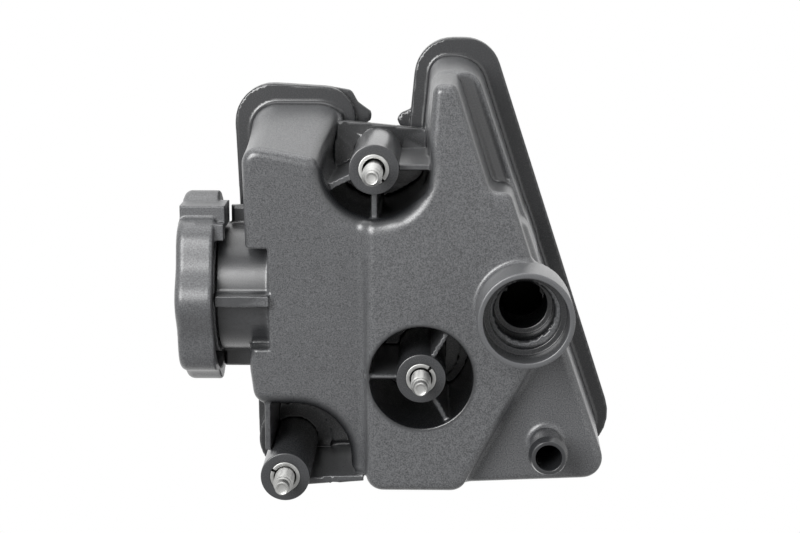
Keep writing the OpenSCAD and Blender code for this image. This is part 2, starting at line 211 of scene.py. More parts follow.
@dataclass(frozen=True)
class PlatedSteel:
    """Steel with bright zinc plating, cold-headed or rolled.

    The eye sees a soft grey metal, clouded where the plating is thicker.
    """

    name: str
    colour: str = "#d2d2d0"
    dark: str = "#b2b2b0"
    roughness: float = 0.42

    def make(self) -> bpy.types.Material:
        """Builds the material: clouds a few millimetres wide over a fine pickled texture."""
        material, tree, place = new_material(self.name)
        cloud = add(tree, "ShaderNodeTexNoise", {"Vector": place, "Scale": 1 / (3 * MM), "Detail": 4.0})
        fine = add(tree, "ShaderNodeTexNoise", {"Vector": place, "Scale": 1 / (0.35 * MM), "Detail": 1.0})
        shade = add(tree, "ShaderNodeMix", {"Factor": cloud.outputs["Fac"], "A": srgb(self.dark),
                                            "B": srgb(self.colour)}, data_type="RGBA")
        rough = add(tree, "ShaderNodeMapRange", {"Value": cloud.outputs["Fac"],
                                                 "To Min": self.roughness - 0.08,
                                                 "To Max": self.roughness + 0.1})
        bump = add(tree, "ShaderNodeBump", {"Height": fine.outputs["Fac"], "Strength": 0.25,
                                            "Distance": 0.02 * MM})
        shader = add(tree, "ShaderNodeBsdfPrincipled", {
            "Base Color": shade.outputs["Result"], "Metallic": 1.0, "Roughness": rough.outputs["Result"],
            "Normal": bump.outputs["Normal"]})
        finish_material(tree, shader)
        return material


@dataclass(frozen=True)
class WovenScreen:
    """Nylon filter cloth, woven. The eye sees a pale grid of threads with small dark openings."""

    name: str
    thread_mm: float = 0.5
    colour: str = "#a3a59f"
    dark: str = "#3b3c3a"

    def make(self) -> bpy.types.Material:
        """Builds the material: two crossed sets of round threads as height and shade."""
        material, tree, place = new_material(self.name)
        turn = add(tree, "ShaderNodeMapping", {"Vector": place, "Rotation": (0.0, math.pi / 2, 0.0)})
        waves = [add(tree, "ShaderNodeTexWave", {"Vector": turn.outputs[0], "Scale": 0.31416 / (self.thread_mm * MM)},
                     bands_direction=way) for way in ("X", "Y")]
        weave = add(tree, "ShaderNodeMath", {0: waves[0].outputs["Fac"], 1: waves[1].outputs["Fac"]},
                    operation="MAXIMUM")
        shade = add(tree, "ShaderNodeMix", {"Factor": weave.outputs[0], "A": srgb(self.dark),
                                            "B": srgb(self.colour)}, data_type="RGBA")
        bump = add(tree, "ShaderNodeBump", {"Height": weave.outputs[0], "Strength": 0.6, "Distance": 0.1 * MM})
        shader = add(tree, "ShaderNodeBsdfPrincipled", {
            "Base Color": shade.outputs["Result"], "Roughness": 0.5, "Normal": bump.outputs["Normal"]})
        finish_material(tree, shader)
        return material


@dataclass(frozen=True)
class SealRubber:
    """Nitrile rubber, compression moulded. The eye sees a dull black with a faint bloom."""

    name: str
    colour: str = "#202020"
    bloom: str = "#343433"

    def make(self) -> bpy.types.Material:
        """Builds the material: bloom clouds over a soft micro texture."""
        material, tree, place = new_material(self.name)
        bloom = add(tree, "ShaderNodeTexNoise", {"Vector": place, "Scale": 1 / (4 * MM), "Detail": 4.0})
        fine = add(tree, "ShaderNodeTexNoise", {"Vector": place, "Scale": 1 / (0.3 * MM)})
        shade = add(tree, "ShaderNodeMix", {"Factor": bloom.outputs["Fac"], "A": srgb(self.colour),
                                            "B": srgb(self.bloom)}, data_type="RGBA")
        bump = add(tree, "ShaderNodeBump", {"Height": fine.outputs["Fac"], "Strength": 0.3,
                                            "Distance": 0.02 * MM})
        shader = add(tree, "ShaderNodeBsdfPrincipled", {
            "Base Color": shade.outputs["Result"], "Roughness": 0.7, "Normal": bump.outputs["Normal"]})
        finish_material(tree, shader)
        return material


@dataclass
class Finishes:
    """The finishes of the whole part, made once."""

    shell: bpy.types.Material = field(init=False)
    port: bpy.types.Material = field(init=False)
    tube: bpy.types.Material = field(init=False)
    cap: bpy.types.Material = field(init=False)
    inner: bpy.types.Material = field(init=False)
    zinc: bpy.types.Material = field(init=False)
    seal: bpy.types.Material = field(init=False)
    screen: bpy.types.Material = field(init=False)

    def __post_init__(self) -> None:
        """Makes each material."""
        self.shell = MouldedPlastic("nylon_spark_grained").make()
        self.port = MouldedPlastic("nylon_port_satin", "#606163", "#515254", 0.32, 0.4, 0.02, 0.2).make()
        self.tube = MouldedPlastic("nylon_boss_satin", "#3c3d3f", "#323335", 0.2, 0.4, 0.02, 0.2).make()
        self.cap = MouldedPlastic("nylon_cap_grained", "#68696b", "#38393b", 0.42, 0.4, 0.05, 0.5).make()
        self.inner = MouldedPlastic("nylon_inner_smooth", "#4a4b4d", "#3c3d3f", 0.34, 0.4, 0.02, 0.2).make()
        self.zinc = PlatedSteel("zinc_plated_steel").make()
        self.seal = SealRubber("nitrile_moulded").make()
        self.screen = WovenScreen("nylon_cloth_woven").make()


# Meshes


def put_mesh(name: str, points: np.ndarray, faces: np.ndarray, material: bpy.types.Material, body: str,
             stands_for: str | None, sharp: float | None = 40.0,
             normals: np.ndarray | None = None, smooth: np.ndarray | None = None) -> bpy.types.Object:
    """Makes one piece from whole arrays and joins it to its body.

    Args:
        name: Name of the piece.
        points: Places in millimetres, one row each.
        faces: Corner numbers, four a row; a triangle repeats its last corner.
        material: Finish of the piece.
        body: Body that carries it.
        stands_for: Node that it replaces, if any.
        sharp: Angle in degrees above which an edge stays sharp.
        normals: Shading normals of the points, if they are known.
        smooth: Share of each point's dark ungrained colour instead of grain: ungrained mould steel, and painted shade
            in recesses.

    Returns:
        The new object, at the origin.
    """
    triangle = faces[:, 2] == faces[:, 3]
    counts = np.where(triangle, 3, 4)
    a, b, c, d = (points[faces[:, i]] for i in range(4))
    volume = np.einsum("ij,ij->i", a, np.cross(b, c)).sum() + np.einsum("ij,ij->i", a, np.cross(c, d)).sum()
    if volume < 0:
        faces = np.where(triangle[:, None], faces[:, [1, 0, 2, 2]], faces[:, ::-1])
    keep = np.ones(faces.shape, bool)
    keep[:, 3] = ~triangle
    loops = faces[keep].astype(np.int32)
    mesh = bpy.data.meshes.new(name)
    mesh.vertices.add(len(points))
    mesh.vertices.foreach_set("co", (points * MM).astype(np.float32).ravel())
    mesh.loops.add(len(loops))
    mesh.loops.foreach_set("vertex_index", loops)
    mesh.polygons.add(len(faces))
    mesh.polygons.foreach_set("loop_start", (np.cumsum(counts) - counts).astype(np.int32))
    mesh.update(calc_edges=True)
    mesh.validate()
    mesh.polygons.foreach_set("use_smooth", np.ones(len(mesh.polygons), bool))
    if normals is not None:
        mesh.normals_split_custom_set_from_vertices(normals.astype(np.float32))
    elif sharp is not None:
        mesh.set_sharp_from_angle(angle=math.radians(sharp))
    if smooth is not None:
        mesh.attributes.new(SMOOTH, "FLOAT", "POINT").data.foreach_set("value", smooth.astype(np.float32))
    mesh.materials.append(material)
    piece = bpy.data.objects.new(name, mesh)
    bpy.context.scene.collection.objects.link(piece)
    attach(piece, body)
    if stands_for:
        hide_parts(stands_for)
    LOG.info("%s: %d faces on %s", name, len(mesh.polygons), body)
    return piece


def turned(radius: np.ndarray, height: np.ndarray, centre: tuple[float, float], axis: Axis,
           ring: bool = False) -> tuple[np.ndarray, np.ndarray]:
    """Surface round an axis: a point stands at radius(s, t) and height(s, t) for a turn t of the circle.

    Args:
        radius: Radii, one row per profile point and one column per step round the axis.
        height: Places along the axis, of the same shape or one column.
        centre: The axis's place, (x, z) for a depth axis and (x, y) for an upright one.
        axis: Direction of the axis.
        ring: True where the profile closes on itself, false where both ends close at the axis.

    Returns:
        Points and faces.
    """
    rows, steps = radius.shape
    height = np.broadcast_to(height, radius.shape)
    turn = np.linspace(0, 2 * np.pi, steps, endpoint=False)
    u, v = centre[0] + radius * np.cos(turn), centre[1] + radius * np.sin(turn)
    points = np.stack([u, height, v] if axis is Axis.DEPTH else [u, v, height], -1).reshape(-1, 3)
    s = np.arange(rows if ring else rows - 1)[:, None]
    t = np.arange(steps)[None, :]
    below, above, after = s * steps, (s + 1) % rows * steps, (t + 1) % steps
    faces = np.stack([below + t, below + after, above + after, above + t], -1).reshape(-1, 4)
    if not ring:
        for row, flip in ((0, False), (rows - 1, True)):
            pole = points[row * steps:(row + 1) * steps].mean(0)
            points = np.vstack([points, pole])
            number = np.full(steps, len(points) - 1)
            here, there = row * steps + t[0], row * steps + after[0]
            fan = (here, there) if flip else (there, here)
            faces = np.vstack([faces, np.stack([fan[0], fan[1], number, number], -1)])
    return points, faces


def round_profile(corners: list[tuple[float, float, float]], steps: int = 4) -> np.ndarray:
    """Profile through corners of (radius, height, rounding), each corner an arc of its rounding.

    The arc runs between the points at a distance of rounding x tan(half the turn) on both sides, as a
    quadratic curve whose middle control point is the corner itself.
    """
    places = np.array([c[:2] for c in corners], float)
    out = [places[0]]
    for i in range(1, len(corners) - 1):
        before, here, after = places[i - 1], places[i], places[i + 1]
        a, b = before - here, after - here
        la, lb = np.linalg.norm(a), np.linalg.norm(b)
        cut = min(corners[i][2], 0.49 * la, 0.49 * lb)
        if cut < 1e-4:
            out.append(here)
            continue
        p, q = here + a / la * cut, here + b / lb * cut
        t = np.linspace(0, 1, steps + 1)[:, None]
        out.extend((1 - t) ** 2 * p + 2 * t * (1 - t) * here + t ** 2 * q)
    out.append(places[-1])
    return np.array(out)


def lathe(corners: list[tuple[float, float, float]], centre: tuple[float, float], axis: Axis,
          steps: int = 128, arc: int = 4) -> tuple[np.ndarray, np.ndarray]:
    """Turned solid from a profile of rounded corners that starts and ends on the axis or is a closed ring."""
    ring = corners[0][0] > 0 and corners[0][:2] == corners[-1][:2]
    profile = round_profile(corners, arc)
    if ring:
        profile = profile[:-1]
    radius = np.repeat(profile[:, :1], steps, 1)
    return turned(np.maximum(radius, 1e-4), profile[:, 1:2], centre, axis, ring)


# Fields: a solid is a function that is negative inside, and every blend is taken on whole arrays


def round_join(a: np.ndarray, b: np.ndarray, r: float) -> np.ndarray:
    """Union of two solids with a fillet: outside both, the distance to a circle of radius r in the corner."""
    return np.maximum(r, np.minimum(a, b)) - np.hypot(np.maximum(r - a, 0), np.maximum(r - b, 0))


def round_both(a: np.ndarray, b: np.ndarray, r: float) -> np.ndarray:
    """Overlap of two solids with its edge rounded to radius r."""
    return np.minimum(-r, np.maximum(a, b)) + np.hypot(np.maximum(r + a, 0), np.maximum(r + b, 0))


def round_cut(a: np.ndarray, b: np.ndarray, r: float) -> np.ndarray:
    """Solid a without b, with the new edge rounded to radius r."""
    return round_both(a, -b, r)


class Outline:
    """Rounded polygon seen from the front, as a table of signed distances that is read between its cells."""

    STEP = 0.5
    LOW = np.array([-60.0, -80.0])
    SIZE = (340, 320)

    def __init__(self, corners: list[tuple[float, float, float]]) -> None:
        """Builds the table from corners of (x, z, radius) in anticlockwise order."""
        loop = self.rounded(np.array(corners, float))
        gx = self.LOW[0] + self.STEP * np.arange(self.SIZE[0])[:, None]
        gz = self.LOW[1] + self.STEP * np.arange(self.SIZE[1])[None, :]
        best = np.full(self.SIZE, 1e9)
        inside = np.zeros(self.SIZE, bool)
        for p, q in zip(loop, np.roll(loop, -1, 0)):
            e = q - p
            t = np.clip(((gx - p[0]) * e[0] + (gz - p[1]) * e[1]) / (e @ e), 0, 1)
            best = np.minimum(best, (gx - p[0] - t * e[0]) ** 2 + (gz - p[1] - t * e[1]) ** 2)
            if p[1] != q[1]:
                across = (gz >= min(p[1], q[1])) & (gz < max(p[1], q[1]))
                inside ^= across & (gx < p[0] + (gz - p[1]) * e[0] / e[1])
        self.table = (np.sqrt(best) * np.where(inside, -1, 1)).astype(np.float32)

    @staticmethod
    def rounded(corners: np.ndarray) -> np.ndarray:
        """Points of the loop, with an arc of its own radius at each corner."""
        out = []
        for i, (x, z, r) in enumerate(corners):
            here = np.array([x, z])
            before = here - corners[i - 1, :2]
            after = corners[(i + 1) % len(corners), :2] - here
            before, after = before / np.linalg.norm(before), after / np.linalg.norm(after)
            bend = math.atan2(before[0] * after[1] - before[1] * after[0], before @ after)
            start = here - before * r * math.tan(abs(bend) / 2)
            centre = start + np.array([-before[1], before[0]]) * r * math.copysign(1, bend)
            a = bend * np.linspace(0, 1, 9)
            v = start - centre
            out.append(np.stack([centre[0] + v[0] * np.cos(a) - v[1] * np.sin(a),
                                 centre[1] + v[0] * np.sin(a) + v[1] * np.cos(a)], -1))
        return np.vstack(out)

    def __call__(self, x: np.ndarray, z: np.ndarray) -> np.ndarray:
        """Signed distance at x and z, from the four cells round the place."""
        u = np.clip((x - self.LOW[0]) / self.STEP, 0, self.SIZE[0] - 1.001)
        v = np.clip((z - self.LOW[1]) / self.STEP, 0, self.SIZE[1] - 1.001)
        i, j = u.astype(np.int32), v.astype(np.int32)
        du, dv = (u - i).astype(np.float32), (v - j).astype(np.float32)
        t = self.table
        return ((t[i, j] * (1 - du) + t[i + 1, j] * du) * (1 - dv)
                + (t[i, j + 1] * (1 - du) + t[i + 1, j + 1] * du) * dv)


def bar(x: np.ndarray, y: np.ndarray, z: np.ndarray, at: tuple[float, float], front: float, back: float,
        r_front: float, r_back: float) -> np.ndarray:
    """Round bar along the depth whose radius runs in a straight line from front to back."""
    r = r_front + (r_back - r_front) * (y - front) / (back - front)
    return np.maximum(np.hypot(x - at[0], z - at[1]) - r, np.maximum(front - y, y - back))


def slab(x: np.ndarray, y: np.ndarray, z: np.ndarray, at: tuple[float, float], turn: float, near: float,
         far: float, front: float, back: float, thick: float) -> np.ndarray:
    """Upright plate that leaves a place in a direction turn (degrees from x): the box near..far x thick."""
    c, s = math.cos(math.radians(turn)), math.sin(math.radians(turn))
    along = (x - at[0]) * c + (z - at[1]) * s
    across = (z - at[1]) * c - (x - at[0]) * s
    side = np.maximum(np.abs(across) - thick / 2, np.abs(along - (near + far) / 2) - (far - near) / 2)
    return np.maximum(side, np.maximum(front - y, y - back))


def drafted(x: np.ndarray, y: np.ndarray, z: np.ndarray, root: Outline, front: Outline, face: np.ndarray,
            base: float, edge: float) -> np.ndarray:
    """Moulded form whose outline runs from root at the base to front at its face, with a rounded edge."""
    t = np.clip((base - y) / (base - np.minimum(face, base - 1)), 0, 1)
    side = root(x, z) * (1 - t) + front(x, z) * t
    return round_both(side, face - y, edge)


def settled(solid: object, points: np.ndarray, faces: np.ndarray,
            steps: int) -> tuple[np.ndarray, np.ndarray, np.ndarray]:
    """Slides points onto a field's zero surface along its gradient and gives them the gradient as normal."""
    h = 0.12
    normals = np.zeros_like(points)
    for step in range(steps + 1):
        x, y, z = points.T
        slope = np.stack([solid(x + h, y, z) - solid(x - h, y, z), solid(x, y + h, z) - solid(x, y - h, z),
                          solid(x, y, z + h) - solid(x, y, z - h)], -1) / (2 * h)
        size = np.maximum(np.linalg.norm(slope, axis=1), 0.3)
        normals = slope / size[:, None]
        if step < steps:
            move = np.clip(solid(x, y, z) / size, -0.35, 0.35)
            points = points - normals * move[:, None] * 0.8
    return points, faces, normals


def thinned(solid: object, points: np.ndarray, faces: np.ndarray,
            kept: float) -> tuple[np.ndarray, np.ndarray, np.ndarray]:
    """Collapses edges, first where the surface is flat, until a share of the triangles is kept."""
    mesh = bpy.data.meshes.new("net")
    mesh.from_pydata(points.tolist(), [], faces.tolist())
    net = bpy.data.objects.new("net", mesh)
    bpy.context.scene.collection.objects.link(net)
    net.modifiers.new("collapse", "DECIMATE").ratio = kept
    result = net.evaluated_get(bpy.context.evaluated_depsgraph_get()).to_mesh()
    places = np.empty(len(result.vertices) * 3)
    result.vertices.foreach_get("co", places)
    result.calc_loop_triangles()
    corners = np.empty(len(result.loop_triangles) * 3, np.int32)
    result.loop_triangles.foreach_get("vertices", corners)
    bpy.data.objects.remove(net)
    bpy.data.meshes.remove(mesh)
    corners = corners.reshape(-1, 3)
    return settled(solid, places.reshape(-1, 3), corners[:, [0, 1, 2, 2]], 1)


def surface_net(solid: object, xs: np.ndarray, ys: np.ndarray, zs: np.ndarray,
                steps: int = 3) -> tuple[np.ndarray, np.ndarray, np.ndarray]:
    """Closed quad mesh of a field's zero surface on a rectilinear grid.

    Each cell that the surface crosses gets one point, the mean of the crossings on its edges, and each
    grid edge that it crosses gets one face between the four cells round it. The points then slide onto
    the surface along the field's gradient, which also gives the shading normals.

    Args:
        solid: Function of x, y and z arrays, negative inside.
        xs: Grid places along x.
        ys: Grid places along y.
        zs: Grid places along z.
        steps: Number of slides onto the surface.

    Returns:
        Points, faces and normals.
    """
    axes = [a.astype(np.float32) for a in (xs, ys, zs)]
    values = solid(axes[0][:, None, None], axes[1][None, :, None], axes[2][None, None, :]).astype(np.float32)
    inside = values < 0
    cells = np.zeros([n - 1 for n in inside.shape], np.int8)
    for i in (0, 1):
        for j in (0, 1):
            for k in (0, 1):
                cells += inside[i:i + cells.shape[0], j:j + cells.shape[1], k:k + cells.shape[2]]
    active = (cells > 0) & (cells < 8)
    ci, cj, ck = np.nonzero(active)
    number = np.full(cells.shape, -1, np.int32)
    number[ci, cj, ck] = np.arange(len(ci))
    total = np.zeros((len(ci), 3))
    count = np.zeros(len(ci))
    for way in range(3):
        for p in (0, 1):
            for q in (0, 1):
                a = [p, q]
                a.insert(way, 0)
                b = list(a)
                b[way] = 1
                va = values[ci + a[0], cj + a[1], ck + a[2]]
                vb = values[ci + b[0], cj + b[1], ck + b[2]]
                cross = (va < 0) != (vb < 0)
                t = np.where(cross, va / np.where(cross, va - vb, 1), 0)
                ends = [np.stack([axes[0][ci + e[0]], axes[1][cj + e[1]], axes[2][ck + e[2]]], -1) for e in (a, b)]
                total += (ends[0] + (ends[1] - ends[0]) * t[:, None]) * cross[:, None]
                count += cross
    points = total / count[:, None]
    quads = []
    for way in range(3):
        lo = [slice(1, -1)] * 3
        lo[way] = slice(0, -1)
        hi = list(lo)
        hi[way] = slice(1, None)
        change = inside[tuple(lo)] != inside[tuple(hi)]
        grid = np.nonzero(change)
        first = inside[tuple(lo)][grid]
        place = [g + (0 if n == way else 1) for n, g in enumerate(grid)]
        u, v = [n for n in range(3) if n != way]
        corner = []
        for du, dv in ((1, 1), (0, 1), (0, 0), (1, 0)):
            c = [g.copy() for g in place]
            c[u] -= du
            c[v] -= dv
            corner.append(number[c[0], c[1], c[2]])
        quad = np.stack(corner, -1)
        flip = first if way != 1 else ~first
        quads.append(np.where(flip[:, None], quad, quad[:, ::-1]))
    faces = np.vstack(quads)
    return settled(solid, points, faces, steps)


# The tank


@dataclass
class FrontShell:
    """Front half of the tank: raised faces, pockets, bosses, ribs, filler neck and weld flange."""

    wall: float = 2.5
    flange_front: float = 48.0
    edge: float = 2.6
    fillet: float = 2.6
    grid: float = 0.75
    kept: float = 0.6
    rims: tuple[float, float, float] = (4.6, 0.6, 4.2)

    def __post_init__(self) -> None:
        """Prepares the outlines of all forms."""
        foot, short, long = FOOT, SHORT_TOP, LONG_TOP
        f = floor_z
        self.flange = Outline(FLANGE)
        self.lobe = (Outline([(34, f(34), 1), (long, f(long), 9), (long, -2.7, 6), (34, 2.8, 1)]),
                     Outline([(34, f(34) + 0.8, 1), (long - 2.4, f(long) + 0.8, 6), (long - 2.4, -3.7, 5),
                              (34, 2, 1)]))
        self.ridge = (Outline([(42, -27, 1), (long - 0.8, -12, 3), (long - 0.8, -3.2, 4), (42, 1.2, 1)]),
                      Outline([(42, -24, 1), (long - 4.4, -9.8, 2.5), (long - 4.4, -3.4, 2.5), (42, 0, 1)]))
        self.block = (Outline([(-foot, -14, 5), (12, f(12) + 1, 1), (55, f(55) + 1, 3), (57, -8, 2),
                               (52, 17.6, 1), (-foot, 17.6, 6)]),
                      Outline([(-foot + 0.3, -11.8, 5), (15, f(15) + 2.8, 3), (55.2, f(55.2) + 2.8, 3),
                               (56.6, -8, 2), (52, 16.4, 1), (-foot + 0.3, 16.4, 5)]))
        self.panel = (Outline([(-foot + 2, 4, 1), (46, 4, 1), (short, 27.5, 11), (short, 53.8, 8),
                               (42, 53, 10), (0, 51.8, 10), (-foot + 0.4, 49, 6)]),
                      Outline([(-foot + 3, 4, 1), (46, 4, 1), (64.8, 31, 5), (68.9, 52.3, 4.5),
                               (42, 51.9, 6), (0, 51.2, 8), (-foot + 1, 47, 4)]))
        self.low = (Outline([(-foot + 2, f(-foot) - 0.4, 8), (44, f(44) + 0.6, 1), (44, -10, 1),
                             (-foot - 0.2, -6, 1)]),
                    Outline([(-foot + 2.3, f(-foot) + 1, 6), (44, f(44) + 1.4, 1), (44, -10, 1),
                             (-foot + 0.1, -6, 1)]))
        self.hollows = (
            (Outline([(-foot + 3, -9.8, 3), (17, f(17) + 6.2, 2), (53, f(53) + 6, 2), (54, -17.4, 2),
                      (74, -11, 2), (74, -5.8, 2), (49, -4.8, 2), (49, 13.6, 2), (-foot + 3, 13.6, 3)]), 0.5),
            (Outline([(-foot + 5, 8, 2), (46, 8, 2), (62.2, 33.2, 2), (66, 48.9, 3), (42, 48.8, 4),
                      (0, 46.2, 4), (-foot + 3.4, 42.2, 3)]), 9.4),
            (Outline([(-foot + 4, f(-foot) + 3.8, 4), (40, f(40) + 4.2, 2), (40, -14, 2),
                      (-foot + 4, -9, 2)]), 9.0),
            (Outline([(36, f(36) + 4.6, 2), (long - 4.4, f(long) + 4, 5), (long - 4.4, -6.4, 3),
                      (36, -2.4, 2)]), 22.0))
        self.corner = Outline([(-56, 21.1, 1), (-10.5, 21.1, 17), (-10.5, 76, 1), (-56, 76, 1)])
        self.plate = Outline([(44, -3, 1), (69, -2.4, 1), (71.9, 27.5, 6), (64, 32.5, 4), (44, 33, 1)])

    def terrace(self, x: np.ndarray, z: np.ndarray) -> np.ndarray:
        """Depth of the terrace: 22 with two soft waves along the slanted floor, 6 mm from crest to crest."""
        across = z * math.cos(SLANT) - x * math.sin(SLANT)
        return 22.0 - 0.55 * np.cos((across + 38.6) * 2 * math.pi / 5.4)

    def forms(self, x: np.ndarray, y: np.ndarray, z: np.ndarray) -> np.ndarray:
        """Raised faces of the tank, joined with fillets."""
        base = self.flange_front
        lobe = drafted(x, y, z, *self.lobe, self.terrace(x, z), base, 1.1)
        t = np.clip((base - y) / (base - 0.5), 0, 1)
        side = [pair[0](x, z) * (1 - t) + pair[1](x, z) * t for pair in (self.block, self.ridge)]
        block = round_both(round_join(*side, 1.5), 0.5 - y, self.edge)
        panel = drafted(x, y, z, *self.panel, 6.4 - 0.09 * x, base, self.edge)
        low = drafted(x, y, z, *self.low, np.float32(9.0), base, self.edge)
        body = round_join(block, panel, self.fillet)
        body = round_join(round_join(body, low, self.fillet), lobe, 1.8)
        return body

    def pockets(self, x: np.ndarray, y: np.ndarray, z: np.ndarray, grow: float) -> list[np.ndarray]:
        """Tapered pockets round the upper, centre and lower boss."""
        back = FLOOR_Y + grow
        upper = bar(x, y, z, UPPER_BOSS, -20, back, 15.4 + grow, 14 + grow)
        centre = bar(x, y, z, CENTRE_BOSS, -20, back, 15.7 + grow, 14.5 + grow)
        lower = np.maximum(self.corner(x, z) + 0.05 * (y - 10) - grow, y - back)
        return [upper, centre, lower]

    def neck_step(self, x: np.ndarray, y: np.ndarray, z: np.ndarray, grow: float) -> np.ndarray:
        """Step in front of the filler neck."""
        return np.maximum(np.abs(x - 22.6) - 15.4 - grow, np.maximum(y - 16 - grow, 45.3 - grow - z))

    def head_room(self, x: np.ndarray, y: np.ndarray, z: np.ndarray, grow: float) -> np.ndarray:
        """Room for the upper bolt's head behind the plate between the lobes."""
        return np.maximum(np.maximum(50.5 - grow - x, SEAT_Y - 0.1 - grow - y),
                          np.maximum(2 - grow - z, z - 25 - grow))

    def ribs(self, x: np.ndarray, y: np.ndarray, z: np.ndarray) -> np.ndarray:
        """Thin ribs from the bosses to their pockets' walls."""
        rows = [(UPPER_BOSS, -90, 18, 5.0, 1.8), (UPPER_BOSS, 180, 18, 4.0, 1.8), (UPPER_BOSS, 115, 17.5, 8.0, 1.8),
                ((-34.8, 40.5), -86, 23, 9.0, 2.2), ((-30.4, 46.3), 0, 24, 9.5, 1.8)]
        rows += [(CENTRE_BOSS, turn, far, front, 1.6) for turn in (90, -30, -150)
                 for far, front in ((11, 6.0), (17, 2.2))]
        plates = [slab(x, y, z, at, turn, 5.5, far, front, 42, thick) for at, turn, far, front, thick in rows]
        return np.minimum.reduce(np.broadcast_arrays(*plates))

    def neck(self, x: np.ndarray, y: np.ndarray, z: np.ndarray) -> np.ndarray:
        """Filler neck with four ribs under its shoulder."""
        dx, dy = x - NECK_AT[0], y - NECK_AT[1]
        tube = np.maximum(np.hypot(dx, dy) - 19.6, np.maximum(42.8 - z, z - 61))
        deep = np.maximum(np.maximum(np.abs(dx) - 1.7, np.abs(dy) - 25), np.maximum(45 - z, z - 61))
        flat = np.maximum(np.maximum(np.abs(dy) - 1.7, np.abs(dx) - 25), np.maximum(45 - z, z - np.where(dx > 0, 58, 61)))
        return round_join(tube, np.minimum(deep, flat), 0.8)

    def room(self, x: np.ndarray, y: np.ndarray, z: np.ndarray) -> np.ndarray:
        """Hollow of the shell."""
        room = np.maximum(self.hollows[0][0](x, z), 0.5 + self.wall - y)
        for outline, face in self.hollows[1:]:
            room = np.minimum(room, np.maximum(outline(x, z), face + self.wall - y))
        for pocket in self.pockets(x, y, z, self.wall):
            room = np.maximum(room, -pocket)
        room = np.maximum(room, -self.neck_step(x, y, z, self.wall))
        return np.maximum(room, -self.head_room(x, y, z, self.wall))

    def smooth_share(self, points: np.ndarray) -> np.ndarray:
        """Share of the dark ungrained colour: the flange's real ungrained finish, painted shade in the pockets, on the
        shell's inside, in the port and spigot and partly on the terrace, and a darker neck.
        """
        x, y, z = points.T
        flange = np.clip((y - 45.6) / 0.8, 0, 0.85)
        upper, centre, lower = self.pockets(x, y, z, 0.0)
        # Painted shade in the pockets: full inside the centre well and at its rim, fading out within about 4 mm of the
        # upper and lower pockets.
        pocket = np.maximum(1.2 - centre / 1.2, np.clip(1.05 - np.minimum(upper, lower) / 4.0, 0, 1) ** 1.5)
        # Painted shade on the shell's inside.
        hollow = 1.0 - self.room(x, y, z) / 0.5
        # Painted shade on the terrace's face, up to 0.7 of the dark colour.
        terrace = np.minimum((-0.9 - self.lobe[1](x, z)) / 0.6, self.ridge[1](x, z) - 0.6)
        terrace = 0.7 * np.clip(np.minimum(terrace, 3 - np.abs(y - 22)), 0, 1)
        # Painted shade inside the suction port and the return spigot.
        bores = np.maximum(9.6 - np.hypot(x - PORT_AT[0], z - PORT_AT[1]),
                           4.2 - np.hypot(x - SPIGOT_AT[0], z - SPIGOT_AT[1]))
        away = np.hypot(x - NECK_AT[0], y - NECK_AT[1])
        neck = np.clip(np.minimum(z - 46, 27 - away), 0, 0.6)
        share = np.clip(np.maximum.reduce([flange, pocket, hollow, terrace, bores, neck]), 0, 1)
        return np.where(np.abs(self.ribs(x, y, z)) < 0.4, np.minimum(share, 0.35), share)

    def solid(self, x: np.ndarray, y: np.ndarray, z: np.ndarray) -> np.ndarray:
        """The whole moulding as one field."""
        body = round_cut(self.forms(x, y, z), self.head_room(x, y, z, 0.0), 0.8)
        ring = round_both(self.flange(x, z), np.maximum(self.flange_front - y, y - WELD_Y), 0.5)
        body = round_join(body, ring, 1.2)
        for pocket, rim in zip(self.pockets(x, y, z, 0.0), self.rims):
            body = round_cut(body, pocket, rim)
        body = round_cut(body, self.neck_step(x, y, z, 0.0), 0.8)
        body = np.maximum(np.maximum(body, -self.room(x, y, z)), y - WELD_Y)
        extra = np.maximum(self.plate(x, z), np.maximum(FLOOR_Y - y, y - SEAT_Y))
        for at in (UPPER_BOSS, CENTRE_BOSS, LOWER_BOSS):
            extra = np.minimum(extra, bar(x, y, z, at, 0.4, SEAT_Y, 7.1, 7.1))
        for at in (CENTRE_BOSS, LOWER_BOSS):
            extra = np.minimum(extra, bar(x, y, z, at, FLOOR_Y, WELD_Y, 11.5, 11.5))
        extra = np.minimum(extra, self.ribs(x, y, z))
        body = round_join(body, extra, 0.7)
        body = round_join(body, self.neck(x, y, z), 1.0)
        port = bar(x, y, z, PORT_AT, -2.4, 5, 13.8, 13.8)
        spigot = bar(x, y, z, SPIGOT_AT, 6.0, 11, 4.4, 4.4)
        body = round_join(body, port, 1.6)
        body = round_join(body, spigot, 2.2)
        for at in (UPPER_BOSS, CENTRE_BOSS, LOWER_BOSS):
            body = np.maximum(body, -bar(x, y, z, at, -1, SEAT_Y + 1, 4.6, 4.6))
        for at in (CENTRE_BOSS, LOWER_BOSS):
            body = np.maximum(body, -bar(x, y, z, at, SEAT_Y, WELD_Y + 1, 8.5, 8.5))
        body = np.maximum(body, -bar(x, y, z, PORT_AT, -6, 8, 8.9, 8.9))
        body = np.maximum(body, -bar(x, y, z, PORT_AT, 7, 26, 7.6, 7.6))
        body = np.maximum(body, -bar(x, y, z, SPIGOT_AT, -6, 14, 3.8, 3.8))
        bore = np.maximum(np.hypot(x - NECK_AT[0], y - NECK_AT[1]) - 15.9, 39.3 - z)
        return np.maximum(body, -bore)

    def build(self, finishes: Finishes) -> None:
        """Meshes the moulding and dresses it."""
        g = self.grid
        xs = np.arange(-44.0, 98.6, g)
        zs = np.arange(-71.0, 62.6, g)
        ys = np.concatenate([np.arange(-3.2, 14, g), np.arange(14, 46, 1.5 * g), np.arange(46, 52, 0.6)])
        points, faces, normals = surface_net(self.solid, xs, ys, zs)
        points, faces, normals = thinned(self.solid, points, faces, self.kept)
        put_mesh("front_shell_moulding", points, faces, finishes.shell, "tank", "front_shell",
                 None, normals, self.smooth_share(points))


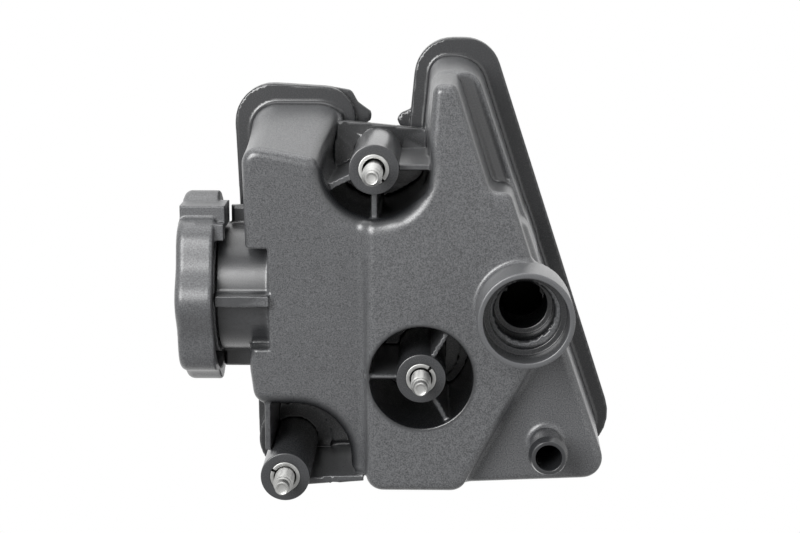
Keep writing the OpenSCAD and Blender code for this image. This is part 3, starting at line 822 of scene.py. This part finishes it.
@dataclass
class TurnedParts:
    """Turned forms of the front shell: suction port, return spigot, boss tubes and the neck's thread."""

    thread_turns: float = 1.6

    def port(self, finishes: Finishes) -> None:
        """Suction port: a mouth with two inner steps and a rounded lip."""
        corners = [(7.0, 24, 0), (7.0, 7.0, 0.5), (8.8, 7.0, 0.3), (8.8, -2.0, 0.3), (10.3, -2.0, 0.3),
                   (10.3, -7.0, 0.3), (12.1, -7.0, 0.3), (12.35, -16.0, 0.4), (14.0, -16.0, 0.6),
                   (14.0, 1.5, 0.3), (13.0, 4.0, 0.3), (9.4, 8.5, 0.3), (8.0, 12.0, 0.5), (8.0, 24.0, 0),
                   (7.0, 24, 0)]
        points, faces = lathe(corners, PORT_AT, Axis.DEPTH, 160)
        # The port's inside takes the dark ungrained colour: its real ungrained bore, and painted shade in the mouth.
        inside = np.hypot(points[:, 0] - PORT_AT[0], points[:, 2] - PORT_AT[1]) < 12.3
        put_mesh("suction_port", points, faces, finishes.port, "tank", "front_shell", smooth=inside)

    def spigot(self, finishes: Finishes) -> None:
        """Return spigot: a tube with a bead behind its sharp lip."""
        corners = [(3.8, 12, 0), (3.8, -7.7, 0.2), (4.0, -8.0, 0.1), (5.0, -8.0, 0.25), (5.9, -5.0, 0.25),
                   (5.6, -4.4, 0.2), (4.7, -4.1, 0.3), (4.7, 7.2, 0.8), (5.0, 10, 0), (3.8, 12, 0)]
        points, faces = lathe(corners, SPIGOT_AT, Axis.DEPTH, 96)
        put_mesh("return_spigot", points, faces, finishes.tube, "tank", "front_shell",
                 smooth=np.full(len(points), 0.35))

    def bosses(self, finishes: Finishes) -> None:
        """Boss tubes with flat faces and a small edge rounding."""
        for name, at in (("upper", UPPER_BOSS), ("centre", CENTRE_BOSS), ("lower", LOWER_BOSS)):
            corners = [(4.5, 43.5, 0), (4.5, 0.0, 0.25), (7.3, 0.0, 0.35), (7.3, 43.0, 0), (4.5, 43.5, 0)]
            points, faces = lathe(corners, at, Axis.DEPTH, 96)
            put_mesh(f"{name}_boss_tube", points, faces, finishes.tube, "tank", "front_shell")

    def neck(self, finishes: Finishes) -> None:
        """Neck above the shoulder: a tube whose outside carries a three-start thread of 20 mm lead.

        The radius grows by 1.2 mm where the phase 3 (turn - height / lead) is near a crest.
        """
        steps, rows = 192, 40
        turn = np.linspace(0, 2 * np.pi, steps, endpoint=False)[None, :]
        height = np.linspace(61.0, NECK_TOP - 0.7, rows)[:, None]
        phase = 3 * (turn / (2 * np.pi) - (height - 61) / 20)
        crest = np.clip(1.6 - np.abs((phase % 1) - 0.5) * 9, 0, 1)
        fade = np.clip((height - 61.2) / 0.8, 0, 1) * np.clip((NECK_TOP - 0.9 - height) / 0.8, 0, 1)
        outside = 16.9 + 1.0 * crest * fade
        inside_up = np.full((1, steps), 15.9)
        radius = np.vstack([outside, np.full((1, steps), 16.6), inside_up + 0.3, inside_up, inside_up, inside_up])
        levels = np.vstack([height, [[NECK_TOP]], [[NECK_TOP]], [[NECK_TOP - 0.4]], [[61.0]], [[60.9]]])
        radius = np.vstack([np.full((1, steps), 15.9), radius[:-1]])
        levels = np.vstack([[[60.9]], levels[:-1]])
        points, faces = turned(radius, levels, NECK_AT, Axis.UP, ring=True)
        put_mesh("neck_thread", points, faces, finishes.inner, "tank", "front_shell")

    def build(self, finishes: Finishes) -> None:
        """Builds every turned form."""
        self.port(finishes)
        self.spigot(finishes)
        self.bosses(finishes)
        self.neck(finishes)


@dataclass
class RearShell:
    """Rear half of the tank: two rounded boxes, the weld flange, its ears and the wells of the bolt heads."""

    wall: float = 2.5
    edge: float = 3.2
    grid: float = 1.0

    def __post_init__(self) -> None:
        """Prepares the outlines."""
        foot, short, long = FOOT, SHORT_TOP, LONG_TOP
        f = floor_z
        self.flange = Outline(FLANGE)
        self.long = Outline([(-foot, f(-foot), 8), (long, f(long), 9), (long, -2.7, 6), (-foot, 9, 1)])
        self.short = Outline([(-foot + 1, -12, 1), (44, -6, 1), (short, 25, 5), (short, 53.8, 8),
                              (42, 52.6, 10), (0, 48.4, 10), (-foot - 0.6, 46, 7)])
        self.ears = (Outline([(67, 30, 0.3), (67, 23, 0.3), (70, 17.5, 0.8), (70.7, 16.4, 0.8), (73.3, 16.2, 0.8),
                              (76.4, 20.5, 1.5), (80.1, 22.5, 2.0), (81.1, 28.3, 1.0), (80.4, 32, 0.3)][::-1]),
                     Outline([(65, -1, 0.3), (78, -1, 0.3), (74.2, 4.2, 2), (73.1, 6.8, 1), (71.9, 7.9, 0.5),
                              (70.7, 8.2, 0.5), (69.1, 7.4, 1), (65, 3.4, 0.3)]))

    def solid(self, x: np.ndarray, y: np.ndarray, z: np.ndarray) -> np.ndarray:
        """The whole moulding as one field."""
        draft = (y - WELD_Y) * 0.05
        long, short = self.long(x, z) + draft, self.short(x, z) + draft
        out = round_join(round_both(long, y - BACK_Y, self.edge), round_both(short, y - BACK_Y + 0.6, self.edge), 2)
        head = np.maximum(50.5 - x, np.maximum(2 - z, z - 25))
        body = np.maximum(round_cut(out, head, 1.0), WELD_Y - y)
        ring = round_both(self.flange(x, z), np.maximum(WELD_Y - y, y - WELD_Y - 2.5), 0.5)
        for ear in self.ears:
            ring = np.minimum(ring, round_both(ear(x, z), np.maximum(WELD_Y + 0.2 - y, y - WELD_Y - 2.3), 0.5))
        body = round_join(body, ring, 1.5)
        for at in (CENTRE_BOSS, LOWER_BOSS):
            body = round_join(body, bar(x, y, z, at, WELD_Y, BACK_Y - 0.4, 11.5, 11.5), 1.5)
        room = np.maximum(np.minimum(long, short) + self.wall, y - BACK_Y + self.wall)
        room = np.maximum(room, self.wall - head)
        for at in (CENTRE_BOSS, LOWER_BOSS):
            room = np.maximum(room, 11.5 - np.hypot(x - at[0], z - at[1]))
        body = np.maximum(body, -room)
        for at in (CENTRE_BOSS, LOWER_BOSS):
            body = round_cut(body, np.hypot(x - at[0], z - at[1]) - 8.5 - 0 * y, 0.6)
        return np.maximum(body, WELD_Y + 0.05 - y)

    def smooth_share(self, points: np.ndarray) -> np.ndarray:
        """Share of the dark ungrained colour: the flange's real ungrained finish, and painted shade on the shell's
        inside.
        """
        x, y, z = points.T
        # Painted shade on the shell's inside; the flange keeps its real ungrained finish.
        hollow = np.maximum(np.minimum(self.long(x, z), self.short(x, z)) + self.wall - 0.6, y - BACK_Y + 1.2)
        return np.clip(np.maximum(np.clip((54.6 - y) / 0.8, 0, 0.85), 1 - hollow / 0.5), 0, 1)

    def build(self, finishes: Finishes) -> None:
        """Meshes the moulding and dresses it."""
        g = self.grid
        points, faces, normals = surface_net(
            self.solid, np.arange(-45.0, 99.0, g), np.concatenate([np.arange(49.4, 56, 0.6), np.arange(56, 74, g)]),
            np.arange(-71.0, 62.6, g))
        put_mesh("rear_shell_moulding", points, faces, finishes.shell, "tank", "rear_shell", None, normals,
                 self.smooth_share(points))


# The cap, its plug and the bolts


@dataclass
class Cap:
    """Screw cap: a lobed grip with a stop ear, over the plug that carries seal and dipstick."""

    radius: float = 29.3
    foot: float = 61.4
    top: float = 72.4
    lobes: int = 8
    grid: float = 0.6

    def solid(self, x: np.ndarray, y: np.ndarray, z: np.ndarray) -> np.ndarray:
        """The grip: a lobed drum whose top edge leans in, with a ring space under it for the neck."""
        dx, dy = x - NECK_AT[0], y - NECK_AT[1]
        r = np.hypot(dx, dy)
        turn = np.arctan2(dy, dx)
        lean = np.clip((z - self.top + 2.4) / 2.4, 0, 1) ** 2 * 1.4
        side = r - (self.radius - 1.3 + 1.3 * np.cos(self.lobes * turn)) + lean + 0.0 * z
        drum = round_both(side, np.maximum(self.foot - z, z - self.top), 0.8)
        inner = np.maximum(r - 18.2, z - NECK_TOP - 3.2)
        groove = np.maximum(np.maximum(r - 25.3, 20.2 - r), z - NECK_TOP - 2.4)
        drum = np.maximum(np.maximum(drum, -inner), -groove)
        hub = np.maximum(r - 6.05, z - NECK_TOP - 4)
        drum = np.maximum(drum, -hub)
        ear = np.maximum(np.maximum(np.abs(x - 46.2) - 3.2, np.abs(y - 18) - 6), np.abs(z - 65.2) - 6.8)
        leg = np.maximum(np.maximum(np.abs(x - 42) - 2.5, np.abs(y - 10.5) - 2.5), np.abs(z - 62.6) - 4.0)
        return round_join(drum, np.minimum(ear, leg), 0.8)

    def stick(self, x: np.ndarray, y: np.ndarray, z: np.ndarray) -> np.ndarray:
        """The dipstick: a round stub over a flat blade with two level holes."""
        dx, dy, dz = x - NECK_AT[0], y - NECK_AT[1], z - NECK_TOP + 9
        stub = np.maximum(np.hypot(dx, dy) - 2.45, np.maximum(-2 - dz, dz - 6))
        blade = round_both(np.maximum(np.abs(dx) - 1, np.abs(dy) - 3.5), np.maximum(-84 - dz, dz + 1.5), 0.3)
        for level in (78, 58):
            blade = np.maximum(blade, 1.5 - np.hypot(dy, dz + level))
        return round_join(stub, blade, 0.4)

    def build(self, finishes: Finishes) -> None:
        """Meshes the grip, and the plug, seal and dipstick under it."""
        g = self.grid
        points, faces, normals = surface_net(self.solid, np.arange(-8.4, 53.5, g), np.arange(-4.2, 58.2, g),
                                             np.arange(58.0, 74.0, g))
        put_mesh("cap_grip_moulding", points, faces, finishes.cap, "cap_grip", "cap_knob", None, normals)
        t = NECK_TOP
        core = [(0, t - 3, 0), (2.5, t - 3, 0.1), (2.5, t - 9, 0.3), (4.5, t - 9, 0.3), (4.5, t - 0.5, 0.3),
                (13.4, t - 0.5, 0.5), (13.4, t - 9, 0.3), (15.6, t - 9, 0.8), (15.6, t + 1.2, 0.1),
                (17.7, t + 1.2, 0.1), (17.7, t + 2.1, 0.3), (6, t + 2.1, 0.2), (6, t + 3.9, 0.3), (0, t + 3.9, 0)]
        seal = [(15.6, t, 0.2), (17.7, t, 0.2), (17.7, t + 1.2, 0.2), (15.6, t + 1.2, 0.2), (15.6, t, 0.2)]
        for name, corners, material, slot in (("cap_core", core, finishes.inner, "inner_plastic"),
                                              ("cap_seal", seal, finishes.seal, "seal")):
            points, faces = lathe(corners, NECK_AT, Axis.UP, 128)
            put_mesh(f"{name}_turned", points, faces, material, "cap_plug", name)
        points, faces, normals = surface_net(self.stick, np.arange(18.2, 26.9, 0.5), np.arange(22.2, 31.9, 0.5),
                                             np.arange(t - 95, t - 1, 0.5))
        put_mesh("dipstick_moulding", points, faces, finishes.inner, "cap_plug", "dipstick",
                 None, normals)


@dataclass
class Sleeve:
    """Rolled steel sleeve in a boss, with an open seam."""

    name: str
    at: tuple[float, float]
    seam: float
    outer: float = 4.5
    bore: float = 3.3

    def build(self, finishes: Finishes) -> None:
        """A C-shaped band: a rounded strip profile carried along the circle from one seam edge to the other."""
        section = round_profile([(self.bore, 43.9, 0), (self.bore, 0.0, 0.2), (self.outer - 0.01, 0.0, 0.2),
                                 (self.outer - 0.01, 43.9, 0), (self.bore, 43.9, 0)], 3)[:-1]
        gap = math.degrees(0.9 / self.outer)
        turn = np.radians(np.linspace(self.seam + gap / 2, self.seam + 360 - gap / 2, 90))[:, None]
        u = self.at[0] + section[None, :, 0] * np.cos(turn)
        v = self.at[1] + section[None, :, 0] * np.sin(turn)
        w = np.broadcast_to(section[None, :, 1], u.shape)
        rows, cols = u.shape
        points = np.stack([u, w, v], -1).reshape(-1, 3)
        i, j = np.arange(rows - 1)[:, None], np.arange(cols)[None, :]
        after = (j + 1) % cols
        faces = np.stack([i * cols + j, i * cols + after, (i + 1) * cols + after, (i + 1) * cols + j], -1)
        faces = faces.reshape(-1, 4)
        for row, flip in ((0, True), (rows - 1, False)):
            ring = row * cols + np.arange(cols)
            points = np.vstack([points, points[ring].mean(0)])
            pole = np.full(cols, len(points) - 1)
            pair = (ring, np.roll(ring, -1)) if not flip else (np.roll(ring, -1), ring)
            faces = np.vstack([faces, np.stack([pair[0], pair[1], pole, pole], -1)])
        put_mesh(f"{self.name}_rolled", points, faces, finishes.zinc, "tank", self.name)


@dataclass
class Bolt:
    """Flanged hexagon bolt with a rolled thread, a chamfer and a pilot end."""

    name: str
    body: str
    at: tuple[float, float]
    back: float
    length: float = 62.0
    radius: float = 2.95
    pitch: float = 1.0

    def shank(self) -> tuple[np.ndarray, np.ndarray]:
        """Pilot, thread and shank in one turned surface.

        The thread's radius falls from the crest by 0.3 mm x the distance to the crest line, whose height
        rises by one pitch a turn, and it fades out in the last turn at both ends.
        """
        head = SEAT_Y + self.back
        tip = head - self.length
        steps = 72
        turn = np.linspace(0, 1, steps, endpoint=False)[None, :]
        thread = np.arange(tip + 3.2, tip + 13.2, self.pitch / 10)[:, None]
        wave = np.abs(((thread / self.pitch + turn) % 1) - 0.5) * 2
        fade = np.clip((thread - tip - 3.4) / 0.8, 0, 1) * np.clip((tip + 13 - thread) / 0.8, 0, 1)
        ridge = self.radius - 0.45 + 0.45 * (1 - wave) * fade
        ridge = np.minimum(ridge, 2.1 + (thread - tip - 3.0) * 0.9)
        lead = np.array([[0.6, tip + 0.55], [1.1, tip + 0.5], [1.45, tip + 0.1], [1.7, tip + 0.0],
                         [2.05, tip + 0.35], [2.1, tip + 0.6], [2.1, tip + 3.0]])
        tail = np.array([[2.5, tip + 13.4], [2.5, head - 0.3], [2.8, head + 0.2], [2.8, head + 2.0]])
        radius = np.vstack([np.repeat(lead[:, :1], steps, 1), ridge, np.repeat(tail[:, :1], steps, 1)])
        height = np.vstack([lead[:, 1:], thread, tail[:, 1:]])
        return turned(radius, height, self.at, Axis.DEPTH)

    def head(self) -> tuple[np.ndarray, np.ndarray]:
        """Flange and hexagon: the radius is the least of hexagon, flange cone and top chamfer."""
        seat = SEAT_Y + self.back
        steps = 144
        turn = np.linspace(0, 2 * np.pi, steps, endpoint=False)[None, :]
        hexagon = 5.0 / np.cos((turn + np.pi / 6) % (np.pi / 3) - np.pi / 6)
        rows = [(2.0, 0.0), (6.2, 0.0), (6.5, 0.25), (6.5, 0.9), (6.1, 1.3), (5.9, 1.6), (5.8, 2.0), (5.8, 5.2),
                (5.45, 5.7), (5.0, 6.0), (4.4, 6.0), (4.0, 5.6), (1.0, 5.5)]
        cut = np.array(rows)
        radius = np.where(cut[:, 1:] < 1.5, cut[:, :1] + 0 * turn, np.minimum(cut[:, :1], hexagon))
        return turned(radius, seat + cut[:, 1:], self.at, Axis.DEPTH)

    def build(self, finishes: Finishes) -> None:
        """Builds shank and head as the bolt's two surfaces."""
        for part, (points, faces) in (("shank", self.shank()), ("head", self.head())):
            put_mesh(f"{self.name}_{part}", points, faces, finishes.zinc, self.body, self.name, 35.0)


def dress(name: str, material: bpy.types.Material) -> None:
    """Gives a node of the frame its finish."""
    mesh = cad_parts[name].data
    mesh.materials.clear()
    mesh.materials.append(material)
    LOG.info("%s: dressed with %s", name, material.name)


# The studio


@dataclass
class Studio:
    """Camera, soft lights, white surroundings and a pale floor."""

    eye: tuple[float, float, float] = (138.57, -543.6, -5.89)
    lens: float = 85.5
    floor_drop: float = 300.0
    room_level: float = 0.2
    dim_level: float = 0.4

    def camera(self) -> None:
        """Camera at the photograph's place: its axes come from the vanishing point of the bosses."""
        away = np.array([(443.0 - 400.0) / 1900, (-100.0 - 266.5) / 1900, 1.0])
        away /= np.linalg.norm(away)
        rise = np.array([0, -away[2], away[1]])
        rise /= np.linalg.norm(rise)
        if rise[1] > 0:
            rise = -rise
        side = np.cross(away, rise)
        if side[0] < 0:
            side = -side
        to_camera = np.stack([side, rise, away], 1)
        columns = [np.array([row[1], row[2], -row[0]]) for row in (to_camera[0], -to_camera[1], -to_camera[2])]
        matrix = np.eye(4)
        matrix[:3, :3] = np.stack(columns, 1)
        matrix[:3, 3] = np.array(self.eye) * MM
        data = bpy.data.cameras.new("photo_camera")
        data.lens, data.sensor_width = self.lens, 36.0
        data.clip_start, data.clip_end = 0.01, 20.0
        camera = bpy.data.objects.new("photo_camera", data)
        bpy.context.scene.collection.objects.link(camera)
        camera.matrix_world = Matrix(matrix.tolist())
        bpy.context.scene.camera = camera

    def lamp(self, name: str, place: tuple[float, float, float], size: float, power: float) -> None:
        """Square soft lamp at a place in millimetres that faces the part's middle."""
        data = bpy.data.lights.new(name, "AREA")
        data.shape, data.size, data.energy = "SQUARE", size, power
        lamp = bpy.data.objects.new(name, data)
        bpy.context.scene.collection.objects.link(lamp)
        here = np.array(place, float)
        back = here - np.array([25.0, 25.0, 0.0])
        back /= np.linalg.norm(back)
        side = np.cross([0.3, 0.2, 1.0], back)
        side /= np.linalg.norm(side)
        matrix = np.eye(4)
        matrix[:3, :3] = np.stack([side, np.cross(back, side), back], 1)
        matrix[:3, 3] = here * MM
        lamp.matrix_world = Matrix(matrix.tolist())

    def surroundings(self) -> None:
        """World that is white to the camera, and to reflections where they look back or up.

        Reflections toward the viewer see a dim room, and diffuse light gets a low plain level.
        """
        world = bpy.data.worlds.new("white_room")
        bpy.context.scene.world = world
        world.use_nodes = True
        world.cycles.sampling_method = "NONE"
        tree = world.node_tree
        tree.nodes.clear()
        path = add(tree, "ShaderNodeLightPath")
        way = add(tree, "ShaderNodeSeparateXYZ", {"Vector": add(tree, "ShaderNodeTexCoord").outputs["Generated"]})
        lift = add(tree, "ShaderNodeMath", {0: way.outputs["X"], 1: 0.2, 2: way.outputs["Y"]},
                   operation="MULTIPLY_ADD")
        mirror = add(tree, "ShaderNodeMapRange", {"Value": lift.outputs[0], "From Min": -0.3, "From Max": 0.6,
                                                  "To Min": self.dim_level, "To Max": 1.0})
        lit = add(tree, "ShaderNodeMapRange", {"Value": path.outputs["Is Glossy Ray"], "To Min": self.room_level,
                                               "To Max": mirror.outputs["Result"]})
        seen = add(tree, "ShaderNodeMath", {0: path.outputs["Is Camera Ray"],
                                            1: path.outputs["Is Transmission Ray"]}, operation="MAXIMUM")
        level = add(tree, "ShaderNodeMapRange", {"Value": seen.outputs[0], "To Min": lit.outputs["Result"],
                                                 "To Max": 1.0})
        light = add(tree, "ShaderNodeBackground", {"Color": (1.0, 1.0, 1.0, 1.0),
                                                   "Strength": level.outputs["Result"]})
        add(tree, "ShaderNodeOutputWorld", {"Surface": light.outputs[0]})

    def floor(self) -> None:
        """Pale painted floor well below the part."""
        material, tree, place = new_material("floor_matt_paint")
        haze = add(tree, "ShaderNodeTexNoise", {"Vector": place, "Scale": 4.0})
        shade = add(tree, "ShaderNodeMix", {"Factor": haze.outputs["Fac"], "A": srgb("#ececec"),
                                            "B": srgb("#f2f2f2")}, data_type="RGBA")
        finish_material(tree, add(tree, "ShaderNodeBsdfPrincipled", {
            "Base Color": shade.outputs["Result"], "Roughness": 0.8}))
        low = CAD_BOX[0][2] - self.floor_drop * MM
        half = 0.62
        points = [(-half, -half, low), (half, -half, low), (half, half, low), (-half, half, low)]
        mesh = bpy.data.meshes.new("floor")
        mesh.from_pydata(points, [], [(0, 1, 2, 3)])
        mesh.materials.append(material)
        obj = bpy.data.objects.new("floor", mesh)
        bpy.context.scene.collection.objects.link(obj)

    def build(self) -> None:
        """Sets up the studio."""
        self.camera()
        self.surroundings()
        self.floor()
        self.lamp("key_front", (420.0, -760.0, 460.0), 0.6, 10.8)
        self.lamp("rim_above", (800.0, 60.0, 60.0), 0.8, 2.5)


def main() -> None:
    """Builds the studio and each sub-assembly in order."""
    logging.basicConfig(level=logging.INFO, format="%(name)s %(message)s")
    bpy.context.scene.view_settings.view_transform = "Standard"
    Studio().build()
    finishes = Finishes()
    FrontShell().build(finishes)
    TurnedParts().build(finishes)
    RearShell().build(finishes)
    Cap().build(finishes)
    for name, at, seam in (("upper_sleeve", UPPER_BOSS, -140), ("centre_sleeve", CENTRE_BOSS, -40),
                           ("lower_sleeve", LOWER_BOSS, 60)):
        Sleeve(name, at, seam).build(finishes)
    for name, body, at, back in (("upper_bolt", "bolt_a", UPPER_BOSS, 0.0), ("centre_bolt", "bolt_b", CENTRE_BOSS, 5.2),
                                 ("lower_bolt", "bolt_c", LOWER_BOSS, 6.4)):
        Bolt(name, body, at, back).build(finishes)
    for name, material in (("strainer_frame", finishes.inner), ("strainer_screen", finishes.screen)):
        dress(name, material)


if __name__ == "__main__":
    main()
